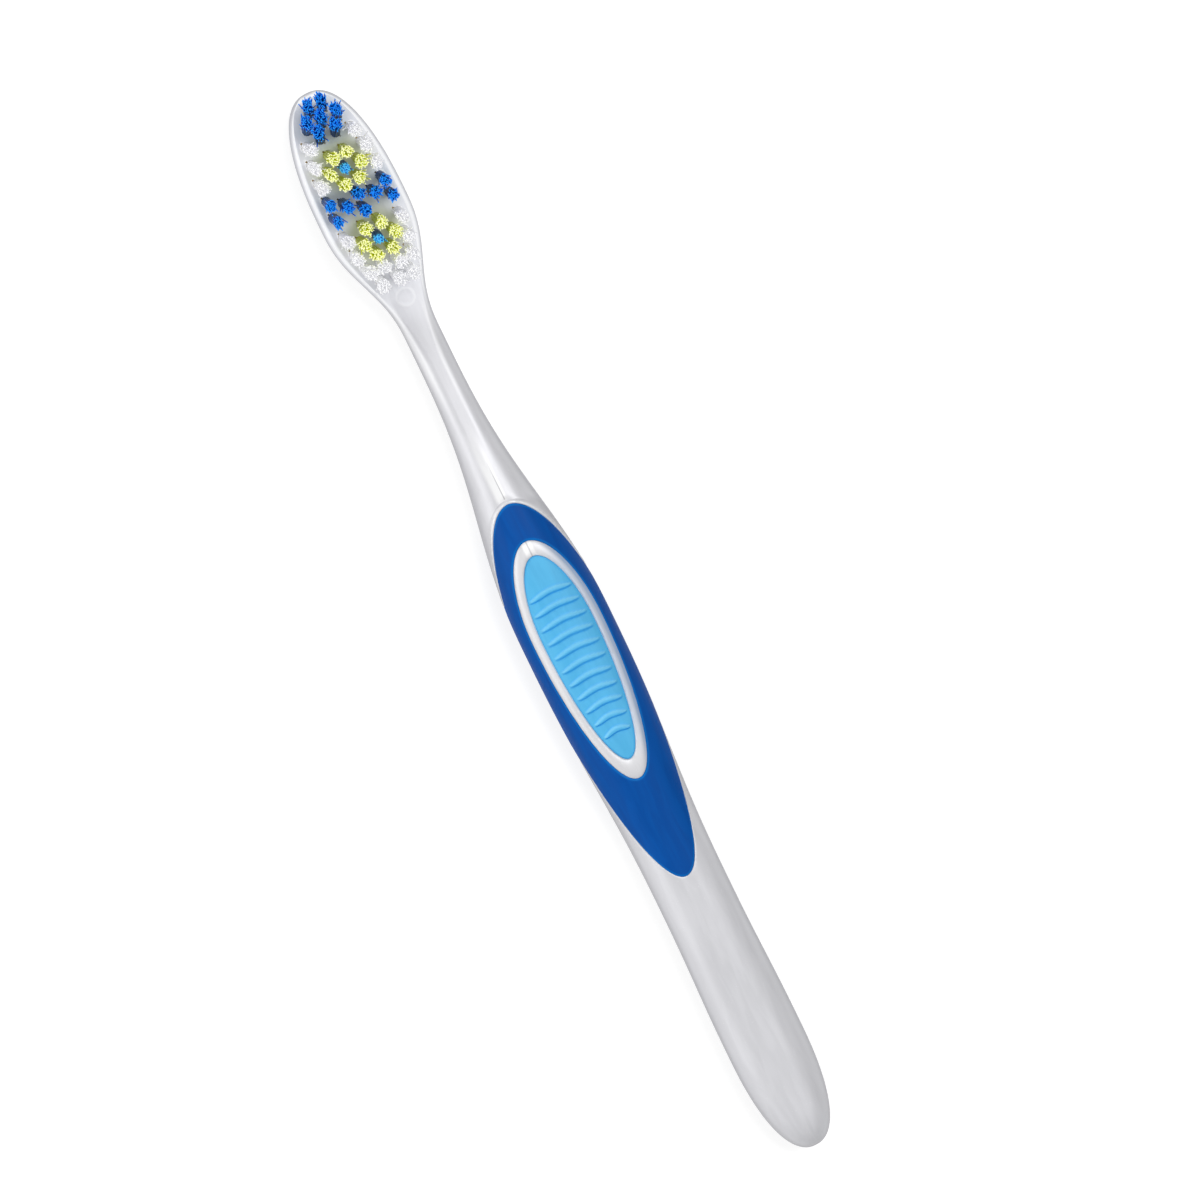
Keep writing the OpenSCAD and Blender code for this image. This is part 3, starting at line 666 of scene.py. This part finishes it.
def make_filaments(name, zone, rng):
    """A zone's filaments as six-sided tubes that lean out more the higher they go: each follows
    base + (tip - base) t^2.6 across and its height x t up, and its end is rounded over."""
    spots, height, lean, slot = zone
    corner = np.arange(FILAMENT_SIDES) * 2 * math.pi / FILAMENT_SIDES
    circle = np.stack([np.cos(corner), np.sin(corner)], 1)
    width = RING_R * FILAMENT_R
    spread = SPREAD[slot] * (LEANING_SPREAD if lean else np.ones(2))
    splay = (np.maximum(RING_AT, 0) ** SPLAY_POWER)[:, None]
    all_points, shades = [], []
    for spot in spots:
        base, tip, top, shade = draw_tuft(height, spread, rng)
        path = base[:, None] + (tip - base)[:, None] * splay
        ring = path[:, :, None] + circle * width[:, None, None]
        z = np.broadcast_to((top[:, None] * RING_AT)[..., None, None], (*ring.shape[:3], 1))
        all_points.append(leaned(np.concatenate([ring, z], -1), spot, lean).reshape(-1, 3))
        shades.append(shade)
    points, block = join(*all_points), len(RING_AT) * FILAMENT_SIDES
    starts = np.arange(0, len(points), block)
    faces = (tube_faces() + starts[:, None, None]).reshape(-1, 4)
    lines = {"along": np.tile(np.repeat(np.clip(RING_AT, 0, 1), FILAMENT_SIDES), len(starts)),
             "strand": np.repeat(join(*shades), block)}
    piece_name = name.replace("tufts", "filaments").replace("tuft", "filaments")
    return add_piece(piece_name, points, faces, [name], lines)


# Finishes
def linear(*display):
    """A colour from its 0-255 display values to the linear values that shaders take."""
    shares = [v / 255 for v in display]
    return (*(v / 12.92 if v <= 0.04045 else ((v + 0.055) / 1.055) ** 2.4 for v in shares), 1)


def x_at(s):
    """X in metres of a place along the brush."""
    return MM * (TOTAL_L / 2 - s)


BLACK, WHITE = (0, 0, 0, 1), (1, 1, 1, 1)
# Tones of the pearl plastic, with painted light and shade among them (tuft-coloured shade, the rim's
# highlight, highlight and shade lines, the ring's arm and the sides), and below them of the brass wire
PEARL = {key: linear(*tone) for key, tone in {
    "deep": (211, 211, 215), "pale": (217, 217, 221), "fleck": (246, 246, 249),
    "head_deep": (208, 209, 214), "head_pale": (218, 219, 224), "lime_cast_shade": (176, 184, 132),
    "blue_cast_shade": (118, 156, 184), "border_highlight": (250, 251, 253), "pale_line": (250, 250, 250),
    "dark_line": (126, 126, 132), "arm": (138, 168, 206), "side": (132, 132, 141),
}.items()}
BRASS = {"Deep": linear(168, 136, 82), "Pale": linear(205, 178, 118), "Fleck": linear(228, 205, 150)}
# Filaments as (display values of root, middle, tip and other; spread, depth of scatter, glow, its
# share at the root, gloss). The darker root is painted shade, the paler tip a painted highlight and the
# glow painted light.
FILAMENTS = {
    ROYAL: ((0, 72, 112), (0, 112, 250), (42, 160, 255), (0, 60, 158), 0.8, 0.3, 0.14, 0.4, 0.05),
    SKY: ((0, 76, 118), (0, 144, 255), (92, 206, 255), (0, 92, 204), 0.8, 0.3, 0.15, 0.4, 0.06),
    LIME: ((186, 194, 44), (240, 245, 72), (253, 253, 212), (222, 230, 54), 0.6, 0.5, 0.19, 0.5, 0.3),
    SNOW: ((241, 241, 243), (245, 245, 247), (249, 249, 250), (234, 235, 238), 0.6, 0.5, 0.15, 1.0, 0.3),
}
# Elastomers as (gloss; display values of deep, pale, rim, a rib's front and its rear); the rim is a painted
# edge tone, lighter on the sleeve and darker on the pad, the front a painted highlight and the rear painted
# shade
DARK_ELASTOMER = (0.12, (0, 74, 154), (0, 81, 164), (0, 124, 208), (0, 84, 176), (0, 46, 120))
LIGHT_ELASTOMER = (0.4, (78, 177, 226), (86, 184, 232), (62, 166, 226), (142, 219, 248), (8, 150, 244))


class Nodes:
    """Adds nodes to one tree, with their inputs set and linked in the same call."""

    def __init__(self, tree):
        self.tree = tree

    def fill(self, node, inputs):
        """Sets a node's inputs, or links them where a socket is given; i4 is its input number 4."""
        for key, value in inputs.items():
            socket = node.inputs[int(key[1:])] if key[1:].isdigit() else node.inputs[key.replace("_", " ")]
            if isinstance(value, bpy.types.NodeSocket):
                self.tree.links.new(value, socket)
            else:
                socket.default_value = value

    def add(self, kind, out=0, settings=None, **inputs):
        """A new shader node's output of that number or name, or all of them where out is None."""
        node = self.tree.nodes.new("ShaderNode" + kind)
        for key, value in (settings or {}).items():
            setattr(node, key, value)
        self.fill(node, inputs)
        return node.outputs if out is None else node.outputs[out]

    def group(self, group, out=0, **inputs):
        return self.add("Group", out, {"node_tree": group}, **inputs)

    def place(self):
        """Object coordinates."""
        return self.add("TexCoord", "Object")

    def axes(self):
        """The object coordinates X and Y."""
        split = self.add("SeparateXYZ", None, Vector=self.place())
        return split["X"], split["Y"]

    def line(self, name):
        """A value that was written over the points of the mesh."""
        return self.add("Attribute", 2, {"attribute_name": name})

    def maths(self, operation, first, *others):
        """One value from several by a row of two-input nodes, or from one by a single node."""
        for other in others or (0.0,):
            first = self.add("Math", 0, {"operation": operation}, i0=first, i1=other)
        return first

    plus = partialmethod(maths, "ADD")
    minus = partialmethod(maths, "SUBTRACT")
    times = partialmethod(maths, "MULTIPLY")
    over = partialmethod(maths, "DIVIDE")
    most = partialmethod(maths, "MAXIMUM")

    def length(self, a, b):
        """The root of a^2 + b^2."""
        return self.maths("SQRT", self.plus(self.times(a, a), self.times(b, b)))

    def ramp(self, value, low, high, to_low=0.0, to_high=1.0):
        """An eased run from one value to another, between two values of the input."""
        return self.add("MapRange", 0, {"interpolation_type": "SMOOTHSTEP"},
                        i0=value, i1=low, i2=high, i3=to_low, i4=to_high)

    def mix(self, share, a, b):
        return self.add("Mix", 2, {"data_type": "RGBA"}, i0=share, i6=a, i7=b)


def node_group(name, inputs, build):
    """A shader node group: inputs by name with their default values, numbers or colours, and the
    outputs by name that build gives."""
    kinds = ("NodeSocketFloat", "NodeSocketColor")
    group = bpy.data.node_groups.new(name, "ShaderNodeTree")
    for label, value in inputs.items():
        kind = kinds[isinstance(value, tuple)]
        group.interface.new_socket(label, in_out="INPUT", socket_type=kind).default_value = value
    nodes = Nodes(group)
    outputs = build(nodes, group.nodes.new("NodeGroupInput").outputs)
    for label, socket in outputs.items():
        group.interface.new_socket(label, in_out="OUTPUT", socket_type=kinds[socket.type == "RGBA"])
    nodes.fill(group.nodes.new("NodeGroupOutput"), outputs)
    return group


def build_grain(nodes, given):
    """Height of a moulded surface's grain: a fine noise, and one about eight times as broad."""
    place = nodes.place()
    fine = nodes.add("TexNoise", Vector=place, Scale=given["Scale"], Detail=3.0, Roughness=0.6)
    broad = nodes.add("TexNoise", Vector=place, Scale=nodes.times(given["Scale"], 0.12))
    return {"Height": nodes.plus(nodes.times(fine, given["Fine"]), nodes.times(broad, given["Broad"]))}


def build_flow(nodes, given):
    """Pearl pigment: long clouds drawn out along the mould's flow, and scattered bright flecks."""
    place = nodes.place()
    drawn = nodes.add("Mapping", Vector=place, Scale=(110.0, 700.0, 500.0))
    cloud = nodes.add("TexNoise", Vector=drawn, Scale=1.0, Detail=4.0, Distortion=0.6)
    cells = nodes.add("TexVoronoi", Vector=place, Scale=given["Fleck Scale"])
    fleck = nodes.ramp(cells, 0.1, 0.22, 1.0, 0.0)
    pick = nodes.add("TexNoise", Vector=place, Scale=nodes.times(given["Fleck Scale"], 0.31))
    fleck = nodes.times(fleck, nodes.ramp(pick, 0.5, 0.68), given["Fleck Share"])
    tone = nodes.mix(nodes.ramp(cloud, 0.32, 0.7), given["Deep"], given["Pale"])
    return {"Colour": nodes.mix(fleck, tone, given["Fleck"]), "Cloud": cloud}


def build_filament(nodes, given):
    """Colour of a filament from its root, darker as painted shade, to its tip, paler as a painted
    highlight, a little different from one to the next, and its glow, painted light that is strongest at the
    tip.
    """
    up, own = nodes.line("along"), nodes.line("strand")
    body = nodes.mix(nodes.ramp(up, 0.45, 0.95), given["Root"], given["Middle"])
    body = nodes.mix(nodes.times(own, given["Spread"]), body, given["Other"])
    body = nodes.mix(nodes.ramp(up, 0.95, 1.0), body, given["Tip"])
    # painted light: a glow that grows towards the tip
    lit = nodes.ramp(up, 0.82, 1.0, given["Root Glow"], 1.0)
    return {"Colour": body, "Own": own, "Glow": nodes.mix(lit, BLACK, body)}


def build_egg_depth(nodes, given):
    """Depth inside an egg outline in metres, as in egg_depth: (1 - r) over the slope of r."""
    x, y = nodes.axes()
    along_x = nodes.minus(x, given["Wide At"])
    to_front = nodes.maths("GREATER_THAN", along_x, 0.0)
    reach = nodes.add("Mix", i0=to_front, i2=given["Rear Reach"], i3=given["Front Reach"])
    u, v = nodes.over(along_x, reach), nodes.over(y, given["Half Width"])
    r = nodes.length(u, v)
    slope = nodes.length(nodes.over(u, reach), nodes.over(v, given["Half Width"]))
    return {"Depth": nodes.over(nodes.times(nodes.minus(1.0, r), r), slope)}


def build_band(nodes, given):
    """1 where a value equals the centre, falling to 0 at the half width on either side."""
    away = nodes.maths("ABSOLUTE", nodes.minus(given["Value"], given["Centre"]))
    return {"Share": nodes.ramp(nodes.over(away, given["Half Width"]), 0.25, 1.0, 1.0, 0.0)}


EGG = node_group("Egg Depth", {
    "Wide At": 0.0, "Front Reach": 0.01, "Rear Reach": 0.01, "Half Width": 0.005}, build_egg_depth)
BAND = node_group("Soft Band", {"Value": 0.0, "Centre": 0.0, "Half Width": 0.001}, build_band)
GRAIN = node_group("Moulded Grain", {"Scale": 6000.0, "Fine": 1.0, "Broad": 1.0}, build_grain)
FLOW = node_group("Pearl Flow", {
    "Deep": PEARL["deep"], "Pale": PEARL["pale"], "Fleck": PEARL["fleck"], "Fleck Share": 0.5,
    "Fleck Scale": 3000.0}, build_flow)
FILAMENT = node_group("Filament Tone", {
    "Root": BLACK, "Middle": BLACK, "Tip": BLACK, "Other": BLACK, "Spread": 0.4, "Root Glow": 0.0},
    build_filament)


def new_material(name, settings):
    """A material with one Principled shader, its plain values set on the shader's own sockets."""
    material = bpy.data.materials.new(name)
    material.use_nodes = True
    material.cycles.emission_sampling = "NONE"
    nodes, shader = Nodes(material.node_tree), material.node_tree.nodes["Principled BSDF"]
    nodes.fill(shader, settings)
    return material, nodes, shader


def grain_bump(nodes, scale, fine, broad, strength, distance):
    """Normal of a surface with the moulded grain on it."""
    grain = nodes.group(GRAIN, Scale=scale, Fine=fine, Broad=broad)
    return nodes.add("Bump", Strength=strength, Distance=distance, Height=grain)


def egg_share(nodes, egg):
    """Depth inside one of the grip's egg outlines, from the shader group."""
    start, wide_at, end, half = (MM * v for v in egg)
    return nodes.group(EGG, Wide_At=MM * TOTAL_L / 2 - wide_at, Front_Reach=wide_at - start,
                       Rear_Reach=end - wide_at, Half_Width=half)


def band(nodes, value, centre, half):
    """Share of a soft band round a centre, both in millimetres."""
    return nodes.group(BAND, Value=value, Centre=MM * centre, Half_Width=MM * half)


def between(nodes, x, s_from, s_to, fade_from, fade_to):
    """1 between two places along the brush, with a fade before the first and after the second."""
    return nodes.times(nodes.ramp(x, x_at(s_from - fade_from), x_at(s_from)),
                       nodes.ramp(x, x_at(s_to + fade_to), x_at(s_to)))


def neck_painted_light(nodes, x, y):
    """Shares of painted highlights along both sides of the neck's face, which run together along lines
    y = a + b x, and of painted shade that darkens one side of the face."""
    held = nodes.most(x, 48 * MM)
    from_left = nodes.minus(y, nodes.times(held, 0.09))
    from_right = nodes.plus(y, nodes.times(held, 0.111))
    flank_highlights = nodes.plus(nodes.times(band(nodes, from_left, -2.38, 0.75), 0.45),
                        nodes.times(band(nodes, from_right, 4.27, 0.6), 0.3))
    left_face_shade = nodes.times(nodes.ramp(from_left, -7.1 * MM, -3.2 * MM),
                         nodes.ramp(from_left, -2.5 * MM, -3.1 * MM))
    return (nodes.times(flank_highlights, between(nodes, x, 40, 47, 5, 12)),
            nodes.times(left_face_shade, between(nodes, x, 37, 39, 3, 9), 0.42))


def painted_light_lines(nodes, x, y):
    """Shares of the moulding's painted highlights, of its painted shade lines, and of the ring's right arm,
    which is painted a shaded blue-grey as if the sleeve's colour were reflected there."""
    def drawn(value, centre, half, share, *reach):
        """A share of a soft band, between two places along the brush if a reach is given."""
        parts = [between(nodes, x, *reach)] if reach else []
        return nodes.times(band(nodes, value, centre, half), *parts, share)

    front = nodes.line("front")
    leaf, window, pad = (egg_share(nodes, egg) for egg in (SLEEVE_EGG, WINDOW_EGG, PAD_EGG))
    on_ring = nodes.times(nodes.ramp(window, -0.1 * MM, 0.0), nodes.ramp(pad, 0.1 * MM, 0.0))
    on_right = nodes.ramp(y, -1.0 * MM, -4.5 * MM)
    flank_highlights, left_face_shade = neck_painted_light(nodes, x, y)
    # painted highlights along the lip round the sleeve's point and either side of the ridge; painted shade
    # in the groove outside the lip and along the creases
    lip = drawn(leaf, -0.24, 0.32, 0.58, 60, 74, 1, 16)
    groove = drawn(leaf, -0.66, 0.13, 0.45, 60, 72.4, 1, 2.6)
    ridge = nodes.times(nodes.plus(drawn(y, 0.5, 1.2, 0.95), drawn(y, -0.5, 0.9, 0.1)),
                        between(nodes, x, 69.5, 71.2, 12, 0.8))
    crease_shade = nodes.plus(drawn(y, 0, 0.16, 1.0, 69, 71.3, 5, 0.4), drawn(y, 0, 0.16, 0.6, 78, 82, 1, 1))
    # painted glints either side of the ring's crease, and the whole ring painted a little paler, a painted
    # sheen
    glint = nodes.times(nodes.plus(band(nodes, y, 0.5, 0.6), drawn(y, -0.42, 0.5, 0.8)),
                        between(nodes, x, 79, 80.6, 1, 1.2), 0.8)
    ring = nodes.times(on_ring, nodes.plus(glint, 0.2))
    away = nodes.length(nodes.minus(x, x_at(MARK_AT)), y)
    # painted highlight round the ejector mark's rim, and painted shade in its sunk disc
    mark = drawn(away, MARK_R + 0.15, 0.3, 0.2)
    disc = nodes.times(nodes.ramp(away, MARK_R * MM, (MARK_R - 0.4) * MM), 0.12)
    # painted shade in a strip beside the sleeve on the right
    strip_shade = nodes.times(drawn(leaf, -1.0, 0.8, 0.42, 74, 82, 2, 6), on_right)
    # painted shade, tinted blue, on the ring's right arm
    arm = nodes.times(on_ring, on_right, front, nodes.plus(drawn(window, 0.2, 0.5, 0.4), 0.4))
    pale, dark = nodes.most(lip, ridge, ring, mark, flank_highlights), nodes.most(groove, crease_shade, disc, strip_shade, left_face_shade)
    return nodes.times(pale, front), nodes.times(dark, front), arm


def pearl_material():
    """Silvery pearl plastic, clearer in the head, where painted shade in the tufts' colours lies round them
    and a glow, painted light, lifts the shadows between them."""
    material, nodes, shader = new_material("pearl_plastic", {
        "IOR": 1.49, "Emission Strength": 1.0})
    body = nodes.group(FLOW, None)
    head = nodes.group(FLOW, None, Deep=PEARL["head_deep"], Pale=PEARL["head_pale"], Fleck_Share=0.1)
    x, y = nodes.axes()
    in_head = nodes.ramp(x, x_at(45), x_at(31))
    pale, dark, arm = painted_light_lines(nodes, x, y)
    tone = head["Colour"]
    # painted coloured shade near the tufts and a painted highlight along the head's rim
    for key, share in {"lime_cast_shade": 0.56, "blue_cast_shade": 0.3, "border_highlight": 0.85}.items():
        tone = nodes.mix(nodes.times(nodes.line(key), share), tone, PEARL[key])
    tone = nodes.mix(in_head, body["Colour"], tone)
    # painted shade on the sides
    side = nodes.times(nodes.line("side"), nodes.ramp(in_head, 0.0, 1.0, 0.5, 0.62))
    # painted highlight and painted shade lines, and the ring's arm painted a shaded blue-grey
    pale, dark = nodes.times(pale, 0.85), nodes.times(dark, 0.55)
    for key, share in {"pale_line": pale, "dark_line": dark, "arm": arm, "side": side}.items():
        tone = nodes.mix(share, tone, PEARL[key])
    nodes.fill(shader, {
        # the head glows with a fifth of its own tone: painted light
        "Base Color": tone, "Emission Color": nodes.mix(nodes.times(in_head, 0.2), BLACK, tone),
        "Roughness": nodes.ramp(body["Cloud"], 0.25, 0.75, 0.42, 0.48),
        "Metallic": nodes.ramp(in_head, 0.0, 1.0, 0.16, 0.0),
        "Normal": grain_bump(nodes, 5000.0, 0.4, 0.6, 0.12, 0.00002)})
    return material


def elastomer_material(name, gloss, *tones):
    """Matt soft-touch rubber: fine grain, a painted edge tone along its rounded edges, a painted highlight
    up the front of its ribs and painted shade down their rear and just ahead of them."""
    deep, pale, rim, crest_highlight, shade = (linear(*tone) for tone in tones)
    material, nodes, shader = new_material(name, {"IOR": 1.45, "Specular IOR Level": gloss})
    flow = nodes.group(FLOW, None, Deep=deep, Pale=pale, Fleck=pale, Fleck_Share=0.2, Fleck_Scale=5200.0)
    # painted edge tone: light along the sleeve's thin edges, shade along the pad's
    tone = nodes.mix(nodes.ramp(nodes.line("edge"), 0.0, 0.55, 0.75, 0.0), flow["Colour"], rim)
    # painted highlight up a rib's front, painted shade down its rear
    tone = nodes.mix(nodes.times(nodes.line("rib_highlight"), 0.75), tone, crest_highlight)
    tone = nodes.mix(nodes.times(nodes.line("rib_shade"), 0.95), tone, shade)
    nodes.fill(shader, {
        "Base Color": tone, "Roughness": nodes.ramp(flow["Cloud"], 0.25, 0.75, 0.48, 0.6),
        "Normal": grain_bump(nodes, 9000.0, 1.0, 0.5, 0.5, 0.00003)})
    return material


def filament_material(name, root, middle, tip, other, spread, depth, lit, root_lit, gloss):
    """Nylon: each filament has painted shade at its root, a painted highlight at its tip and a painted glow
    there that stands in for the light it carries.
    """
    material, nodes, shader = new_material(name, {
        "IOR": 1.53, "Specular IOR Level": gloss, "Subsurface Weight": depth, "Subsurface Scale": 0.0006,
        "Subsurface Radius": (1.0, 1.0, 1.0), "Emission Strength": lit})
    tone = nodes.group(FILAMENT, None, Root=linear(*root), Middle=linear(*middle), Tip=linear(*tip),
                       Other=linear(*other), Spread=spread, Root_Glow=root_lit)
    nodes.fill(shader, {"Base Color": tone["Colour"], "Emission Color": tone["Glow"],
                        "Roughness": nodes.ramp(tone["Own"], 0.0, 1.0, 0.26, 0.44)})
    return material


def wire_material():
    """Bright brass wire with a few lighter flecks."""
    material, nodes, shader = new_material("anchor_brass", {"Metallic": 1.0, "Roughness": 0.3})
    tone = nodes.group(FLOW, None, **BRASS, Fleck_Share=0.3, Fleck_Scale=6000.0)
    nodes.fill(shader, {
        "Base Color": tone["Colour"], "Roughness": nodes.ramp(tone["Cloud"], 0.2, 0.8, 0.22, 0.42),
        "Normal": grain_bump(nodes, 9000.0, 1.0, 0.2, 0.4, 0.00001)})
    return material


def floor_material():
    """White floor that shows as white to the camera and still takes the brush's soft shadow."""
    material = bpy.data.materials.new("studio_floor")
    material.use_nodes = True
    nodes = Nodes(material.node_tree)
    nodes.tree.nodes.remove(nodes.tree.nodes["Principled BSDF"])
    diffuse = nodes.add("BsdfDiffuse", Color=FLOOR_GREY)
    glow = nodes.add("Emission", Color=WHITE, Strength=FLOOR_GLOW)
    both = nodes.add("AddShader", i0=diffuse, i1=glow)
    rays = nodes.add("LightPath", None)
    seen = nodes.most(rays["Is Camera Ray"], rays["Is Glossy Ray"], rays["Is Transmission Ray"])
    mixed = nodes.add("MixShader", i0=seen, i1=diffuse, i2=both)
    nodes.fill(nodes.tree.nodes["Material Output"], {"Surface": mixed})
    return material


def set_material(thing, material):
    """Gives a piece one material in place of any that it had."""
    thing.data.materials.clear()
    thing.data.materials.append(material)


# Studio
def add_lamp(name, place, size, watts):
    """A rectangular soft light that faces the origin, its size across the brush and along it."""
    lamp = bpy.data.lights.new(name, "AREA")
    lamp.shape, lamp.size, lamp.size_y, lamp.energy = "RECTANGLE", *size, watts
    thing = put(name, lamp)
    thing.location = place
    thing.rotation_euler = (-Vector(place)).to_track_quat("-Z", "X").to_euler()


def set_stage():
    """The floor just under the brush, the even light all round and the two lamps."""
    mesh = bpy.data.meshes.new("studio_floor")
    r = FLOOR_REACH
    corners = [(x, y, FLOOR_LEVEL) for x, y in ((-r, -r), (r, -r), (r, r), (-r, r))]
    mesh.from_pydata(corners, [], [(0, 1, 2, 3)])
    floor = put("studio_floor", mesh)
    set_material(floor, floor_material())
    world = bpy.data.worlds.new("studio_air")
    bpy.context.scene.world = world
    world.use_nodes = True
    Nodes(world.node_tree).fill(world.node_tree.nodes["Background"], {"Color": WHITE, "Strength": AIR_GLOW})
    for name, lamp in LAMPS.items():
        add_lamp(name, *lamp)


def set_camera():
    """The photograph's view, through a long lens."""
    camera = bpy.data.cameras.new("view")
    camera.lens, camera.clip_start = CAMERA_LENS, 0.01
    thing = put("view", camera)
    thing.location = CAMERA_PLACE
    thing.rotation_euler = [math.radians(turn) for turn in CAMERA_TURN]
    bpy.context.scene.camera = thing


def main():
    """Builds the studio, the pieces and their finishes."""
    set_camera()
    set_stage()
    zones = tuft_places()
    shell = make_handle()
    drill_holes(shell, zones)
    shade_shell(shell.data, zones)
    set_material(shell, pearl_material())
    set_material(make_sleeve(), elastomer_material("dark_blue_elastomer", *DARK_ELASTOMER))
    set_material(make_pad(), elastomer_material("light_blue_elastomer", *LIGHT_ELASTOMER))
    filaments = {slot: filament_material(slot, *tones) for slot, tones in FILAMENTS.items()}
    rng = np.random.default_rng(SEED)
    for name, zone in zones.items():
        set_material(make_filaments(name, zone, rng), filaments[zone[3]])
    wire = wire_material()
    for name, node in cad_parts.items():
        if "anchor" in name:
            set_material(node, wire)
    bpy.context.scene.view_settings.view_transform = "Standard"


main()
bpy.context.view_layer.update()
